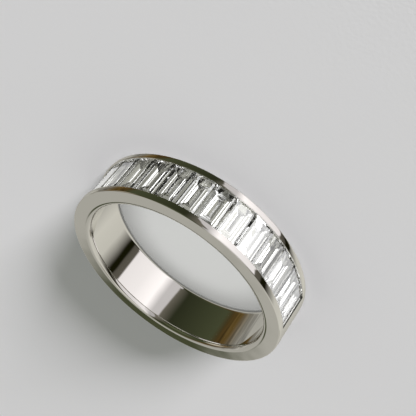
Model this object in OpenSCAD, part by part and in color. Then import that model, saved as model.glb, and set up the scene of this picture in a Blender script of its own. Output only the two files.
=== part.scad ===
// Channel set wedding band: a polished band whose front half holds a row of
// straight baguette stones, side by side between two rails.
// Millimetres. The band lies on its side: +Z runs along the finger axis, the
// origin is the centre of the lower side face, and the row is centred on -Y.

/* [Band] */
// Inside diameter of the finger hole
bore_d = 16.7; // [15:0.1:21]
// Wall from the finger hole to the highest line of the outside
wall_t = 1.65; // [1.6:0.01:1.9]
// Width of the band along the finger
band_w = 4.46; // [4.36:0.02:4.7]
// Radius that breaks each outside corner
corner_r = 0.1; // [0.06:0.01:0.14]
// Radius that rounds each edge of the finger hole, for comfort
comfort_r = 0.45; // [0.3:0.05:0.5]
// Width of the low shoulder along each side of the outside
shoulder_w = 0.42; // [0.35:0.01:0.45]
// Drop of the shoulder from the top of the band to its corner
shoulder_drop = 0.05; // [0.03:0.01:0.08]

/* [Channel] */
// Width of one rail, from the side face to the opening
rail_w = 0.57; // [0.56:0.01:0.6]
// Radius on the lip of the opening
lip_r = 0.07; // [0.04:0.01:0.08]
// Metal between the channel floor and the finger hole
floor_t = 0.4; // [0.36:0.01:0.44]
// Clear gap between a stone and the metal around it
seat_gap = 0.03; // [0.02:0.005:0.04]

/* [Stones] */
// Number of baguettes in the row
stone_n = 16; // [10:1:18]
// Width of a baguette at its girdle, around the band
stone_w = 1.83; // [1.6:0.01:1.85]
// Length of a baguette at its girdle, along the finger
stone_l = 3.66; // [3.62:0.01:3.7]
// Clear gap between one baguette's girdle and the next
stone_gap = 0.03; // [0.02:0.005:0.06]
// How far the tables lie below the top of the band
table_drop = 0.2; // [0.18:0.01:0.22]
// Height of the crown, from the girdle to the table
crown_h = 0.07; // [0.06:0.01:0.09]
// Height of the girdle
girdle_h = 0.04; // [0.03:0.01:0.05]
// Most that the slope round a baguette's table differs in width, as a share of it
table_spread = 0.15; // [0:0.05:0.2]
// Most that a baguette's lower steps are cut higher or lower, as a share of their height
cut_spread = 0.015; // [0:0.005:0.02]

/* [Hidden] */
$fn = 96;
metal_color = [0.82, 0.82, 0.79];
stone_color = [0.93, 0.94, 0.97];
bore_r = bore_d / 2;
top_r = bore_r + wall_t;
half_w = band_w / 2;
over = 0.5;

// Radii of the levels of a stone, and of the channel floor below it
floor_r = bore_r + floor_t;
keel_r = floor_r + seat_gap;
table_r = top_r - table_drop;
girdle_top_r = table_r - crown_h;
girdle_low_r = girdle_top_r - girdle_h;

// Cut of a stone below its girdle: [share of the height, share of the inset] at each step
pavilion_steps = [[0, 0], [0.24, 0.216], [0.46, 0.427], [0.66, 0.629], [0.84, 0.82], [1, 1]];
table_inset_w = 0.17;
table_inset_l = 0.27;
keel_half_w = 0.01;
keel_inset_l = 1.15;

// Angles of the row: each stone takes its girdle and one gap
pitch = 2 * atan((stone_w + stone_gap) / 2 / girdle_low_r);
row_angle = stone_n * pitch;
row_start = 270 - row_angle / 2;
end_gap_angle = 0.1;

// Walls of the channel below its lips
lip_half = half_w - rail_w;
notch_half = stone_l / 2 + seat_gap;
seat_half = notch_half - 0.25;
// A flat stone's corners stand a little farther out than its middle
girdle_corner_r = norm([girdle_top_r, stone_w / 2]) + seat_gap;
lip_low_r = girdle_corner_r + 0.09;
seat_top_r = girdle_low_r - seat_gap;
seat_low_r = seat_top_r - 0.3;

function stone_name(i) = str("baguette_", i < 10 ? "0" : "", i);

// A repeatable number from -1 to 1 for baguette i
function lot(i) = sin(i * 137.5 + 20);

// Radius of the arc that falls by drop over a width, starting level
function fall_r(width, drop) = (width * width + drop * drop) / (2 * drop);

// Share of a stone's height at which lower step k begins; girdle and keel stay the same
function step_height(k, shift) =
    pavilion_steps[k][0] + (k == 0 || k == len(pavilion_steps) - 1 ? 0 : shift);

// Half of a stone's outline as [radius, half width], from keel to table
function half_outline(half, low_half, top_inset, shift) = concat(
    [for (k = [len(pavilion_steps) - 1:-1:0])
        [girdle_low_r - (girdle_low_r - keel_r) * step_height(k, shift),
         half - (half - low_half) * pavilion_steps[k][1]]],
    [[girdle_top_r, half], [table_r, half - top_inset]]
);

function mirrored(points) = [for (k = [len(points) - 1:-1:0]) [points[k][0], -points[k][1]]];

// Shoulder of the band: its arc starts level and falls towards the corner
shoulder_r = fall_r(shoulder_w, shoulder_drop);
shoulder_center = [top_r - shoulder_r, half_w - shoulder_w];
// The corner's arc stands a micron proud of just touching the shoulder's, so that they cross
corner_y = half_w - corner_r;
touch_y = corner_y - shoulder_center[1];
touch_x = sqrt(pow(shoulder_r - corner_r, 2) - touch_y * touch_y);
corner_x = ceil((shoulder_center[0] + touch_x) * 1000 + 0.5) / 1000;
meet_y = corner_y + corner_r * touch_y / (shoulder_r - corner_r);

// Upper half of the band's cross-section, from its middle line to one side face
module half_section() {
    intersection() {
        // Bar with rounded corners
        union() {
            translate([bore_r, 0])
                square([comfort_r, half_w - comfort_r]);
            translate([bore_r + comfort_r, 0])
                square([corner_x - bore_r - comfort_r, half_w]);
            translate([bore_r + comfort_r, half_w - comfort_r])
                circle(comfort_r);
            translate([corner_x, 0])
                square([top_r - corner_x, meet_y]);
            translate([corner_x, corner_y])
                circle(corner_r);
        }
        // Level top that falls along the shoulder
        union() {
            square([top_r, half_w - shoulder_w]);
            square([corner_x, half_w + over]);
            translate(shoulder_center)
                circle(shoulder_r);
        }
    }
}

// Upper half of what is cut away for the channel
module half_channel() {
    polygon([
        [floor_r, 0],
        [floor_r, seat_half],
        [seat_low_r, seat_half],
        [seat_top_r, notch_half],
        [girdle_corner_r, notch_half],
        [lip_low_r, lip_half],
        [top_r + over, lip_half],
        [top_r + over, 0]
    ]);
    // Rounded lip
    difference() {
        translate([top_r - lip_r, lip_half - lip_r])
            square([lip_r + over, 2 * lip_r]);
        translate([top_r - lip_r, lip_half + lip_r])
            circle(lip_r);
    }
}

module both_halves() {
    translate([0, half_w]) {
        children();
        mirror([0, 1])
            children();
    }
}

module band() {
    color(metal_color)
        difference() {
            rotate_extrude()
                both_halves()
                    half_section();
            rotate([0, 0, row_start - end_gap_angle])
                rotate_extrude(angle = row_angle + 2 * end_gap_angle)
                    both_halves()
                        half_channel();
        }
}

module baguette(i) {
    size = 1 + table_spread * lot(i);
    shift = cut_spread * lot(i + 5);
    side_half = half_outline(stone_w / 2, keel_half_w, table_inset_w * size, shift);
    end_half = half_outline(stone_l / 2, stone_l / 2 - keel_inset_l, table_inset_l * size, shift);
    color(stone_color)
        rotate([0, 0, row_start + (i - 0.5) * pitch])
            translate([0, 0, half_w])
                intersection() {
                    translate([0, 0, -stone_l / 2 - over])
                        linear_extrude(stone_l + 2 * over)
                            polygon(concat(side_half, mirrored(side_half)));
                    rotate([90, 0, 0])
                        translate([0, 0, -stone_w / 2 - over])
                            linear_extrude(stone_w + 2 * over)
                                polygon(concat(end_half, mirrored(end_half)));
                }
}

band();
for (i = [1:stone_n])
    baguette(i);
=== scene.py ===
import math
import bpy
from mathutils import Matrix, Vector


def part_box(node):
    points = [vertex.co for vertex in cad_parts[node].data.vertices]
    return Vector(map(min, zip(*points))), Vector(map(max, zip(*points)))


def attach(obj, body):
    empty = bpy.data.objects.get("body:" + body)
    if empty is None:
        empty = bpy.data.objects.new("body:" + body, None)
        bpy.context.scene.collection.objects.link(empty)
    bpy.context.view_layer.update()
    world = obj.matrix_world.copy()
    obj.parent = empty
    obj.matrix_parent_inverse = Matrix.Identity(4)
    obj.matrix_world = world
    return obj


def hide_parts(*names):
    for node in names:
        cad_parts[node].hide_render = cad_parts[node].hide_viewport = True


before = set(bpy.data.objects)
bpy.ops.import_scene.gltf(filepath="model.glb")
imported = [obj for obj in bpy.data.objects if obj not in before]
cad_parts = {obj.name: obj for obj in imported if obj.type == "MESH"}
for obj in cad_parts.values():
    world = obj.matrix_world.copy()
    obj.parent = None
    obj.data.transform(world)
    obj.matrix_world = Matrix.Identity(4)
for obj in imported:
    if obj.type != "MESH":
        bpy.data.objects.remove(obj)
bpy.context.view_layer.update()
bandLow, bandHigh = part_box("band")
mm = 0.001
print("frame loaded:", len(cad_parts), "nodes")

# Camera, at the photograph's angle to the ring: azimuth counts from -Y towards +X
cameraView = {
    "azimuth": -22.34,  # degrees
    "elevation": 31.44,
    "roll": -142.53,
    "distance": 69.94,  # mm from the aim point
    "aim": (-0.06, -3.67, -1.13),  # mm
    "lens": 73.61,  # mm on a sensor 36 mm wide
}


def directionTo(azimuth, elevation):  # unit vector from the ring towards that place
    a, e = math.radians(azimuth), math.radians(elevation)
    return Vector((math.sin(a) * math.cos(e), -math.cos(a) * math.cos(e), math.sin(e)))


def makeCamera(view):
    data = bpy.data.cameras.new("camera")
    data.lens = view["lens"]
    data.sensor_width = 36
    data.clip_start = 0.002
    camera = bpy.data.objects.new("camera", data)
    bpy.context.scene.collection.objects.link(camera)
    back = directionTo(view["azimuth"], view["elevation"])
    side = Vector((0, 0, 1)).cross(back).normalized()
    top = back.cross(side)
    turn = math.radians(view["roll"])
    right = side * math.cos(turn) + top * math.sin(turn)
    up = top * math.cos(turn) - side * math.sin(turn)
    place = Matrix((right, up, back)).transposed().to_4x4()
    place.translation = Vector(view["aim"]) * mm + back * view["distance"] * mm
    camera.matrix_world = place
    bpy.context.scene.camera = camera


makeCamera(cameraView)
print("camera placed")


# Node helpers
def addNode(tree, kind, inputs=None, **settings):
    node = tree.nodes.new(kind)
    for name, value in settings.items():
        setattr(node, name, value)
    for name, value in (inputs or {}).items():
        socket = node.inputs[name]
        if isinstance(value, bpy.types.NodeSocket):
            tree.links.new(value, socket)
        else:
            socket.default_value = value
    return node


def maths(tree, operation, first, second=0.0, clamp=False):
    node = addNode(tree, "ShaderNodeMath", {0: first, 1: second}, operation=operation, use_clamp=clamp)
    return node.outputs[0]


def mixColors(tree, factor, first, second):
    node = addNode(tree, "ShaderNodeMix", data_type="RGBA")
    for socket, value in ((node.inputs[0], factor), (node.inputs[6], first), (node.inputs[7], second)):
        if isinstance(value, bpy.types.NodeSocket):
            tree.links.new(value, socket)
        else:
            socket.default_value = value
    return node.outputs[2]


def ramp(tree, factor, stops):  # at most 32 stops
    node = addNode(tree, "ShaderNodeValToRGB", {"Fac": factor})
    elements = node.color_ramp.elements
    while len(elements) < len(stops):
        elements.new(1.0)
    for element, (position, color) in zip(elements, stops):
        element.position = position
        element.color = (*color, 1.0)
    return node.outputs["Color"]


def newGroup(name, inputs, outputs):
    tree = bpy.data.node_groups.new(name, "ShaderNodeTree")
    for socketName, kind, value in inputs:
        tree.interface.new_socket(socketName, in_out="INPUT", socket_type=kind).default_value = value
    for socketName, kind in outputs:
        tree.interface.new_socket(socketName, in_out="OUTPUT", socket_type=kind)
    return tree, addNode(tree, "NodeGroupInput").outputs, addNode(tree, "NodeGroupOutput").inputs


def groupNode(tree, group, values):  # values by socket name
    node = addNode(tree, "ShaderNodeGroup")
    node.node_tree = group
    for name, value in values.items():
        node.inputs[name].default_value = value
    return node.outputs


def scaled(tree, vector, factor):
    return addNode(tree, "ShaderNodeVectorMath", {0: vector, "Scale": factor}, operation="SCALE").outputs[0]


def placeInMm(tree):
    place = addNode(tree, "ShaderNodeTexCoord").outputs["Object"]
    return scaled(tree, place, 1 / mm)


def noise(tree, place, scale, detail=2.0, roughness=0.5):
    inputs = {"Vector": place, "Scale": scale, "Detail": detail, "Roughness": roughness}
    return addNode(tree, "ShaderNodeTexNoise", inputs).outputs[0]


def raised(tree, height, distance, normal=None):  # normal of a height field, distance in mm
    inputs = {"Height": height, "Distance": maths(tree, "MULTIPLY", distance, mm)}
    if normal:
        inputs["Normal"] = normal
    return addNode(tree, "ShaderNodeBump", inputs).outputs[0]


# Soft waves and fine lines that polishing leaves, running round the axis, and a slow drift of colour
def makePolish():
    tree, given, made = newGroup("polish", (
        ("Wave Size", "NodeSocketFloat", 2.0), ("Wave Height", "NodeSocketFloat", 0.005),
        ("Line Height", "NodeSocketFloat", 0.0001), ("Drift Size", "NodeSocketFloat", 5.0)),
        (("Normal", "NodeSocketVector"), ("Smear", "NodeSocketFloat"), ("Drift", "NodeSocketFloat")))
    place = placeInMm(tree)
    waves = noise(tree, place, maths(tree, "DIVIDE", 1.0, given["Wave Size"]), 1.0)
    x, y, z = addNode(tree, "ShaderNodeSeparateXYZ", {0: place}).outputs
    squares = maths(tree, "ADD", maths(tree, "MULTIPLY", x, x), maths(tree, "MULTIPLY", y, y))
    radius = maths(tree, "SQRT", squares)
    turn = maths(tree, "ARCTAN2", y, x)
    stretched = {0: maths(tree, "MULTIPLY", turn, 1.5), 1: maths(tree, "MULTIPLY", radius, 16.0),
                 2: maths(tree, "MULTIPLY", z, 16.0)}
    lines = noise(tree, addNode(tree, "ShaderNodeCombineXYZ", stretched).outputs[0], 1.0, 4.0, 0.65)
    wavy = raised(tree, waves, given["Wave Height"])
    tree.links.new(raised(tree, lines, given["Line Height"], wavy), made["Normal"])
    tree.links.new(lines, made["Smear"])
    drift = noise(tree, place, maths(tree, "DIVIDE", 1.0, given["Drift Size"]), 3.0)
    tree.links.new(drift, made["Drift"])
    return tree


# Faint clouding inside a clear stone, and its own tint from stone to stone
def makeClarity():
    tree, given, made = newGroup("clarity", (
        ("Clear Color", "NodeSocketColor", (1.0, 1.0, 1.0, 1.0)),
        ("Tint Color", "NodeSocketColor", (1.0, 1.0, 0.9, 1.0)),
        ("Cloud Size", "NodeSocketFloat", 0.6), ("Polish Height", "NodeSocketFloat", 0.0001)),
        (("Color", "NodeSocketColor"), ("Normal", "NodeSocketVector")))
    place = placeInMm(tree)
    clouds = noise(tree, place, maths(tree, "DIVIDE", 1.0, given["Cloud Size"]), 4.0)
    own = addNode(tree, "ShaderNodeObjectInfo").outputs["Random"]
    amount = maths(tree, "MULTIPLY", maths(tree, "ADD", clouds, own), 0.5)
    tree.links.new(mixColors(tree, amount, given["Clear Color"], given["Tint Color"]), made["Color"])
    tree.links.new(raised(tree, noise(tree, place, 4.0, 2.0), given["Polish Height"]), made["Normal"])
    return tree


# Tooth of a sheet of card, with a slow change of tone
def makeCard():
    tree, given, made = newGroup("card", (
        ("Pale Color", "NodeSocketColor", (0.7, 0.7, 0.7, 1.0)),
        ("Dark Color", "NodeSocketColor", (0.65, 0.65, 0.65, 1.0)),
        ("Grain Size", "NodeSocketFloat", 0.2), ("Grain Height", "NodeSocketFloat", 0.01),
        ("Cloud Size", "NodeSocketFloat", 15.0)),
        (("Color", "NodeSocketColor"), ("Normal", "NodeSocketVector")))
    place = placeInMm(tree)
    tooth = noise(tree, place, maths(tree, "DIVIDE", 1.0, given["Grain Size"]), 3.0, 0.6)
    clouds = noise(tree, place, maths(tree, "DIVIDE", 1.0, given["Cloud Size"]), 2.0)
    amount = maths(tree, "ADD", maths(tree, "MULTIPLY", tooth, 0.5), maths(tree, "MULTIPLY", clouds, 0.5))
    tree.links.new(mixColors(tree, amount, given["Pale Color"], given["Dark Color"]), made["Color"])
    tree.links.new(raised(tree, tooth, given["Grain Height"]), made["Normal"])
    return tree


polish = makePolish()
clarity = makeClarity()
card = makeCard()
print("shared effects made")


# Studio around the ring. Polished metal and stones see it, the camera sees a plain backdrop
studio = {
    "tints": {
        "pale": (1.03, 1.0, 0.9),
        "warm": (1.1, 1.0, 0.8),
        "olive": (0.9, 1.0, 0.5),
        "brown": (1.6, 1.0, 0.3),
        "daylight": (1.05, 1.0, 1.0),
    },
    # Walls round the ring, each fading into the next: azimuth in degrees, brightness, tint
    "walls": (
        (-180, 0.45, "pale"),  # pale all along the back
        (-145, 0.65, "pale"),
        (-115, 0.6, "pale"),
        (-95, 0.05, "warm"),  # dark beside the window
        (-80, 0.1, "warm"),
        (-10, 0.15, "warm"),
        (5, 0.03, "olive"),  # long dark side, a little lighter towards its end
        (60, 0.07, "olive"),
        (70, 0.04, "brown"),  # brown corner
        (82, 0.07, "brown"),
        (95, 0.15, "warm"),
        (115, 0.4, "pale"),
        (180, 0.45, "pale")),
    # Window from its left to its right, brightest past its middle: azimuth, brightness
    "window": ((-80, 0.9), (-50, 1.0), (-30, 1.2), (-20, 0.6)),
    "windowAbove": 0.8,  # share of that above the horizon
    # Edges as (elevation, azimuth)
    "windowLeft": ((-90, -96), (-56, -90), (-33, -79), (-25, -75.5), (-4, -75), (90, -76)),
    "windowRight": (
        (-90, 10), (-56, 0), (-40, -5), (-31, -5), (-25, -9.5), (-18, -12), (-12, -20), (15, -14),
        (90, -9)),
    "barLeft": ((-90, -108), (-56, -106), (-38, -101), (-33, -98), (-25, -94), (90, -93)),
    "barRight": ((-90, -97), (-56, -95), (-33, -89), (-25, -85.5), (-12, -84), (90, -84)),
    "windowSoftness": 1.5,
    "barSoftness": 1.8,
    "bar": (0.008, 0.008, 0.002),
    # Soft round patches: azimuth, elevation, radius of the core and of the rim, all in degrees,
    # then brightness and tint
    "patches": (
        (160, 20, 4, 10, 0.07, "olive"),
        (70, 20, 5, 17, 0.5, "warm"),
        (20, 35, 12, 24, 0.1, "olive"),
        (110, 75, 8, 14, 0.1, "olive"),
        (-160, 75, 7, 13, 0.8, "pale"),
        (-155, 60, 4, 9, 0.2, "warm"),
        (-150, 10, 4, 9, 0.2, "warm")),
    "mottle": (64, 76, 112, 124),  # azimuths between which the room is mottled: in, full, full, out
    "mottleScale": 9.0,
    "mottleDark": 0.45,
    "mottlePale": 1.75,
    "backdrop": (0.60, 0.60, 0.60),
    "floorFill": (0.352, 0.364, 0.34),  # light from all round on the floor
    "thrown": (0.4, 0.4, 0.39),  # light that the ring throws onto the floor
}

# The same room as the stones show it, brighter and busier: azimuth in degrees, then brightness
stoneRoom = {
    "glare": (  # on a table, like in a mirror
        (-180, 0.9), (-150, 1.7), (-96, 2.0), (-90, 1.2), (-79, 1.1), (-74, 3.0), (-21, 3.0),
        (-18, 0.1), (60, 0.1), (85, 0.5), (100, 1.0), (130, 1.3), (180, 0.9)),
    "low": (  # through a stone, below the horizon
        (-180, 0.7), (-106, 0.6), (-92, 0.2), (-78, 0.4), (-60, 3), (-54, 3), (-53, 0.6),
        (-45, 0.5), (-44, 2.5), (-39, 2.5), (-38, 0.5), (-29, 0.35), (-28, 3), (-23, 3), (-22, 0.5),
        (-17, 0.3), (-16, 0.12), (-11, 0.12), (-10, 1.5), (-8, 0.2), (-4, 0.15), (-3, 0.6),
        (1, 0.6), (2, 0.15), (10, 0.15), (12, 0.45), (16, 0.45), (18, 0.22), (40, 0.4), (70, 0.25),
        (100, 0.45), (180, 0.6)),
    "high": (  # through a stone, above the horizon
        (-180, 0.6), (-100, 0.5), (-70, 0.35), (-58, 0.3), (-55, 0.5), (-52, 0.12), (-49, 0.6),
        (-46, 0.15), (-43, 0.45), (-40, 0.12), (-30, 0.1), (-26, 0.47), (-14, 0.47), (-10, 0.11),
        (10, 0.1), (16, 0.9), (26, 0.8), (32, 0.22), (70, 0.3), (120, 0.45), (180, 0.6)),
    "darkTint": (1.0, 0.995, 0.87),
}


def tinted(brightness, tint):
    return tuple(brightness * channel for channel in studio["tints"][tint])


def curve(tree, factor, points):  # all values from 0 to 1
    node = addNode(tree, "ShaderNodeFloatCurve", {"Value": factor})
    line = node.mapping.curves[0].points
    while len(line) < len(points):
        line.new(0.5, 0.5)
    for point, (x, y) in zip(line, points):
        point.location = (x, y)
        point.handle_type = "VECTOR"
    node.mapping.update()
    return node.outputs[0]


def smoothBetween(tree, value, low, high):
    return addNode(tree, "ShaderNodeMapRange", {"Value": value, "From Min": low, "From Max": high},
                   interpolation_type="SMOOTHSTEP").outputs[0]


def rescaled(tree, value, low, high, newLow=0.0, newHigh=1.0):
    inputs = {"Value": value, "From Min": low, "From Max": high, "To Min": newLow, "To Max": newHigh}
    return addNode(tree, "ShaderNodeMapRange", inputs).outputs[0]


def alignment(tree, direction, other):  # 1 where they point the same way, -1 where opposite
    inputs = {0: direction, 1: other}
    return addNode(tree, "ShaderNodeVectorMath", inputs, operation="DOT_PRODUCT").outputs["Value"]


def roomRamp(tree, around, name):
    stops = []
    for azimuth, brightness in stoneRoom[name]:
        tint = stoneRoom["darkTint"] if brightness < 0.6 else (1.0, 1.0, 1.0)
        stops.append(((azimuth + 180) / 360, tuple(brightness * channel for channel in tint)))
    return ramp(tree, around, stops)


def makeStudio(given):
    world = bpy.data.worlds.new("studio")
    bpy.context.scene.world = world
    world.use_nodes = True
    tree = world.node_tree
    tree.nodes.clear()
    direction = addNode(tree, "ShaderNodeTexCoord").outputs["Generated"]
    parts = addNode(tree, "ShaderNodeSeparateXYZ", {0: direction}).outputs
    backward = maths(tree, "MULTIPLY", parts[1], -1.0)
    azimuth = maths(tree, "DEGREES", maths(tree, "ARCTAN2", parts[0], backward))
    elevation = maths(tree, "DEGREES", maths(tree, "ARCSINE", parts[2]))
    height = rescaled(tree, elevation, -90.0, 90.0)
    around = rescaled(tree, azimuth, -180.0, 180.0)

    def edge(name, softness):  # 1 past the named edge
        line = curve(tree, height, [((e + 90) / 180, (a + 180) / 360) for e, a in given[name]])
        at = rescaled(tree, line, 0.0, 1.0, -180.0, 180.0)
        return smoothBetween(tree, maths(tree, "SUBTRACT", azimuth, at), -softness, softness)

    room = ramp(tree, around, [((a + 180) / 360, tinted(brightness, tint))
                               for a, brightness, tint in given["walls"]])
    spots = noise(tree, direction, given["mottleScale"], 3.0, 0.6)
    spots = rescaled(tree, spots, 0.3, 0.7, given["mottleDark"], given["mottlePale"])
    start, full, fading, end = given["mottle"]
    entering = smoothBetween(tree, azimuth, start, full)
    leaving = smoothBetween(tree, azimuth, end, fading)
    room = mixColors(tree, maths(tree, "MULTIPLY", entering, leaving), room, scaled(tree, room, spots))

    def between(left, right, softness):
        return maths(tree, "SUBTRACT", edge(left, softness), edge(right, softness))

    bar = between("barLeft", "barRight", given["barSoftness"])
    window = between("windowLeft", "windowRight", given["windowSoftness"])
    glow = ramp(tree, around, [((a + 180) / 360, tinted(brightness, "daylight"))
                               for a, brightness in given["window"]])
    above = smoothBetween(tree, elevation, -12.0, 15.0)
    glow = mixColors(tree, above, glow, scaled(tree, glow, given["windowAbove"]))
    color = mixColors(tree, bar, room, (*given["bar"], 1.0))
    color = mixColors(tree, window, color, glow)
    for a, e, core, rim, brightness, tint in given["patches"]:
        nearness = alignment(tree, direction, directionTo(a, e))
        away = maths(tree, "DEGREES", maths(tree, "ARCCOSINE", nearness))
        patch = (*tinted(brightness, tint), 1.0)
        color = mixColors(tree, smoothBetween(tree, away, rim, core), color, patch)
    path = addNode(tree, "ShaderNodeLightPath").outputs
    upper = smoothBetween(tree, elevation, -5.0, 5.0)
    through = mixColors(tree, upper, roomRamp(tree, around, "low"), roomRamp(tree, around, "high"))
    color = mixColors(tree, path["Is Singular Ray"], color, roomRamp(tree, around, "glare"))
    color = mixColors(tree, path["Is Transmission Ray"], color, through)
    fromFloor = maths(tree, "MULTIPLY", path["Diffuse Depth"], 1.0, clamp=True)
    color = mixColors(tree, fromFloor, color, (*given["thrown"], 1.0))
    color = mixColors(tree, path["Is Diffuse Ray"], color, (*given["floorFill"], 1.0))
    color = mixColors(tree, path["Is Camera Ray"], color, (*given["backdrop"], 1.0))
    shader = addNode(tree, "ShaderNodeBackground", {"Color": color})
    output = addNode(tree, "ShaderNodeOutputWorld")
    tree.links.new(shader.outputs[0], output.inputs[0])
    world.cycles.sampling_method = "MANUAL"
    world.cycles.sample_map_resolution = 512


makeStudio(studio)
print("studio built")

# Floor
paleFloor = {
    "size": 1500.0,  # mm
    "paleColor": (0.714, 0.714, 0.714),
    "darkColor": (0.686, 0.686, 0.686),
    "grainSize": 0.25,  # mm
    "grainHeight": 0.004,
    "cloudSize": 15.0,
    "roughness": 0.9,
}


def makeFloor(given):
    half = given["size"] * mm / 2
    mesh = bpy.data.meshes.new("floor")
    corners = [(-half, -half, 0), (half, -half, 0), (half, half, 0), (-half, half, 0)]
    mesh.from_pydata(corners, [], [(0, 1, 2, 3)])
    floor = bpy.data.objects.new("floor", mesh)
    bpy.context.scene.collection.objects.link(floor)
    floor.location.z = -0.002 * mm
    floor.visible_glossy = False
    floor.visible_transmission = False
    material = bpy.data.materials.new("paleFloor")
    material.use_nodes = True
    tree = material.node_tree
    shader = tree.nodes["Principled BSDF"]
    surface = groupNode(tree, card, {
        "Pale Color": (*given["paleColor"], 1.0), "Dark Color": (*given["darkColor"], 1.0),
        "Grain Size": given["grainSize"], "Grain Height": given["grainHeight"],
        "Cloud Size": given["cloudSize"]})
    tree.links.new(surface["Color"], shader.inputs["Base Color"])
    tree.links.new(surface["Normal"], shader.inputs["Normal"])
    shader.inputs["Roughness"].default_value = given["roughness"]
    shader.inputs["Specular IOR Level"].default_value = 0.1
    mesh.materials.append(material)


makeFloor(paleFloor)
print("floor laid")

# Low light from one side, that draws the long soft shadow
sideLight = {
    "azimuth": -29.0,
    "elevation": 5.5,
    "spread": 16.0,  # degrees across, as the floor sees it
    "power": 17.0,
    "color": (0.978, 0.955, 1.0),
}

# Soft light from straight above, as wide as the finger hole
topLight = {
    "height": 200.0,  # mm above the floor
    "poolRadius": 8.6,  # mm, on the floor
    "blend": 0.25,  # share of the pool's width that fades out
    "radius": 3.0,  # mm
    "power": 0.85,
    "color": (1.0, 0.995, 0.99),
}


def placeLight(name, kind, given):
    data = bpy.data.lights.new(name, kind)
    data.energy = given["power"]
    data.color = given["color"]
    light = bpy.data.objects.new(name, data)
    bpy.context.scene.collection.objects.link(light)
    light.visible_glossy = False
    light.visible_transmission = False
    light.visible_camera = False
    return light, data


def makeSideLight(given):
    light, data = placeLight("sideLight", "SUN", given)
    data.angle = math.radians(given["spread"])
    towards = directionTo(given["azimuth"], given["elevation"])
    light.rotation_euler = towards.to_track_quat("Z", "Y").to_euler()


def makeTopLight(given):
    light, data = placeLight("topLight", "SPOT", given)
    data.spot_size = 2 * math.atan(given["poolRadius"] / given["height"])
    data.spot_blend = given["blend"]
    data.shadow_soft_size = given["radius"] * mm
    light.location.z = given["height"] * mm


makeSideLight(sideLight)
makeTopLight(topLight)
print("lights placed")

# Band: a swept cross-section, open along the channel
band = {
    "boreRadius": 8.35,  # mm
    "cornerRadius": 0.1,
    "comfortRadius": 0.45,
    "shoulderWidth": 0.42,
    "shoulderDrop": 0.05,
    "railWidth": 0.57,
    "lipRadius": 0.07,
    "lipLow": 9.893,
    "notchTop": 9.803,
    "notchHalf": 1.86,
    "seatTop": 9.66,
    "seatLow": 9.36,
    "seatHalf": 1.61,
    "channelFloor": 8.75,
    "rowHalfAngle": 87.81,  # degrees, from the middle of the row to a channel end
    "anglePerStep": 0.75,
    "stepsPerCorner": 8,
}


def arcPoints(center, radius, start, end, count):  # start and end in degrees, both ends included
    return [(center[0] + radius * math.cos(math.radians(start + (end - start) * k / count)),
             center[1] + radius * math.sin(math.radians(start + (end - start) * k / count)))
            for k in range(count + 1)]


def edgeLoops(points, inset=0.015):  # adds a point close to each end of every long straight stretch
    made = [points[0]]
    for a, b in zip(points, points[1:]):
        length = math.dist(a, b)
        if length > 6 * inset:
            for part in (inset / length, 1 - inset / length):
                made.append((a[0] + (b[0] - a[0]) * part, a[1] + (b[1] - a[1]) * part))
        made.append(b)
    return made


def bandSection(size, width, topRadius):
    half = width / 2
    count = size["stepsPerCorner"]
    w, drop = size["shoulderWidth"], size["shoulderDrop"]
    shoulderRadius = (w * w + drop * drop) / (2 * drop)
    shoulder = (topRadius - shoulderRadius, half - w)
    corner = size["cornerRadius"]
    rise = half - corner - shoulder[1]
    cornerCenter = (shoulder[0] + math.sqrt((shoulderRadius - corner) ** 2 - rise ** 2), half - corner)
    tilt = math.degrees(math.asin(rise / (shoulderRadius - corner)))
    comfort = size["comfortRadius"]
    bore = size["boreRadius"]
    # From the upper lip over the shoulder, down the side face and into the bore
    upper = [(topRadius, half - size["railWidth"] + size["lipRadius"])]
    upper += arcPoints(shoulder, shoulderRadius, 0, tilt, 6)
    upper += arcPoints(cornerCenter, corner, tilt, 90, count)[1:]
    upper += arcPoints((bore + comfort, half - comfort), comfort, 90, 180, count)
    lower = [(r, -z) for r, z in reversed(upper)]
    outside = edgeLoops(upper + lower)
    lipHalf = half - size["railWidth"]
    lipRadius = size["lipRadius"]
    lip = arcPoints((topRadius - lipRadius, lipHalf + lipRadius), lipRadius, 270, 360, 4)
    upperWall = [(size["channelFloor"], size["seatHalf"]), (size["seatLow"], size["seatHalf"]),
                 (size["seatTop"], size["notchHalf"]), (size["notchTop"], size["notchHalf"]),
                 (size["lipLow"], lipHalf)] + lip[:-1]
    channel = [(r, -z) for r, z in reversed(upperWall)] + upperWall
    return outside, channel


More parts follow.
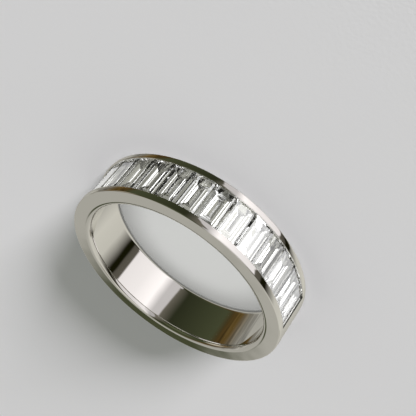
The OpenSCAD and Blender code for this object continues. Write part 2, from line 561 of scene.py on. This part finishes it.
def makeBand(size):
    topRadius = bandHigh.x / mm
    width = bandHigh.z / mm
    outside, channel = bandSection(size, width, topRadius)
    lipHalf = width / 2 - size["railWidth"]
    lipRadius = size["lipRadius"]
    lid = [(topRadius, -lipHalf + 2 * lipHalf * k / (len(channel) - 1)) for k in range(len(channel))]
    half = size["rowHalfAngle"]
    frontSteps = round(2 * half / size["anglePerStep"])
    backSteps = round((360 - 2 * half) / size["anglePerStep"])
    front = [270 - half + 2 * half * k / frontSteps for k in range(frontSteps + 1)]
    back = [270 + half + (360 - 2 * half) * k / backSteps for k in range(1, backSteps)]
    lipAngles = [math.degrees(lipRadius * s / topRadius) for s in (0.08, 0.3, 0.6, 1.0, 1.3)]
    back = [270 + half + a for a in lipAngles] + back + [630 - half - a for a in reversed(lipAngles)]
    verts, faces = [], []

    def ring(angle, points):
        a = math.radians(angle)
        first = len(verts)
        for r, z in points:
            verts.append((r * math.cos(a) * mm, r * math.sin(a) * mm, (z + width / 2) * mm))
        return list(range(first, len(verts)))

    def fall(distance):  # rounded lip beside the channel's end
        d = min(max(distance, 0.0), lipRadius)
        return lipRadius - math.sqrt(lipRadius ** 2 - (lipRadius - d) ** 2)

    def strip(ringA, ringB):
        for k in range(len(ringA) - 1):
            faces.append((ringA[k], ringA[k + 1], ringB[k + 1], ringB[k]))

    frontRings = [(ring(a, outside), ring(a, channel)) for a in front]
    backRings = []
    for a in back:
        distance = math.radians(min(a - 270 - half, 630 - half - a)) * topRadius
        points = []
        for r, z in lid:
            points.append((r - fall(distance), z))
        backRings.append((ring(a, outside), ring(a, points)))
    endLids = [ring(a, [(r - lipRadius, z) for r, z in lid]) for a in (front[-1], front[0])]

    def closed(outer, inner):
        return outer + inner + outer[:1]

    for (outerA, innerA), (outerB, innerB) in zip(frontRings, frontRings[1:]):
        strip(closed(outerA, innerA), closed(outerB, innerB))
    for (outerA, innerA), (outerB, innerB) in zip(backRings, backRings[1:]):
        strip(closed(outerA, innerA), closed(outerB, innerB))
    lastOuter, lastChannel = frontRings[-1]
    strip(closed(lastOuter, endLids[0]), closed(*backRings[0]))
    firstOuter, firstChannel = frontRings[0]
    strip(closed(*backRings[-1]), closed(firstOuter, endLids[1]))
    faces.append(tuple(lastChannel + endLids[0][::-1]))
    faces.append(tuple(endLids[1] + firstChannel[::-1]))
    mesh = bpy.data.meshes.new("bandMetal")
    mesh.from_pydata(verts, [], faces)
    mesh.update()
    mesh.shade_smooth()
    mesh.set_sharp_from_angle(angle=math.radians(32))
    metal = bpy.data.objects.new("bandMetal", mesh)
    bpy.context.scene.collection.objects.link(metal)
    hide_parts("band")
    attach(metal, "root")
    return metal


bandMetal = makeBand(band)
print("band made:", len(bandMetal.data.polygons), "faces")

# White gold
whiteGold = {
    "color": (0.836, 0.831, 0.806),
    "driftColor": (0.822, 0.818, 0.794),
    "driftSize": 5.0,  # mm
    "roughness": 0.033,
    "smear": 0.014,  # most that the polishing lines add to the roughness
    "waveSize": 2.6,  # mm
    "waveHeight": 0.02,
    "lineHeight": 0.00006,
}


def makeWhiteGold(given):
    material = bpy.data.materials.new("whiteGold")
    material.use_nodes = True
    tree = material.node_tree
    shader = tree.nodes["Principled BSDF"]
    surface = groupNode(tree, polish, {
        "Wave Size": given["waveSize"], "Wave Height": given["waveHeight"],
        "Line Height": given["lineHeight"], "Drift Size": given["driftSize"]})
    color = mixColors(tree, surface["Drift"], (*given["color"], 1.0), (*given["driftColor"], 1.0))
    smear = maths(tree, "MULTIPLY", surface["Smear"], given["smear"])
    rough = maths(tree, "ADD", smear, given["roughness"])
    tree.links.new(color, shader.inputs["Base Color"])
    tree.links.new(rough, shader.inputs["Roughness"])
    tree.links.new(surface["Normal"], shader.inputs["Normal"])
    shader.inputs["Metallic"].default_value = 1.0
    return material


bandMetal.data.materials.append(makeWhiteGold(whiteGold))

# Diamonds
diamond = {
    "clearColor": (0.985, 0.99, 1.0),
    "tintColor": (0.975, 0.975, 0.965),
    "cloudSize": 0.6,  # mm
    "polishHeight": 0.00002,
    "ior": 2.417,
}


def makeDiamond(given):
    material = bpy.data.materials.new("diamond")
    material.use_nodes = True
    tree = material.node_tree
    shader = tree.nodes["Principled BSDF"]
    surface = groupNode(tree, clarity, {
        "Clear Color": (*given["clearColor"], 1.0), "Tint Color": (*given["tintColor"], 1.0),
        "Cloud Size": given["cloudSize"], "Polish Height": given["polishHeight"]})
    tree.links.new(surface["Color"], shader.inputs["Base Color"])
    tree.links.new(surface["Normal"], shader.inputs["Normal"])
    shader.inputs["Transmission Weight"].default_value = 1.0
    shader.inputs["IOR"].default_value = given["ior"]
    shader.inputs["Roughness"].default_value = 0.0
    return material


diamondMaterial = makeDiamond(diamond)
stones = [o for name, o in sorted(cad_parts.items()) if name.startswith("baguette")]
for stone in stones:
    stone.data.materials.clear()
    stone.data.materials.append(diamondMaterial)
print("stones dressed:", len(stones))

# Light paths for polished metal and stones
scene = bpy.context.scene
scene.cycles.max_bounces = 24
scene.cycles.transmission_bounces = 24
scene.cycles.glossy_bounces = 12
scene.cycles.diffuse_bounces = 3
scene.cycles.use_denoising = True
scene.view_settings.view_transform = "Standard"
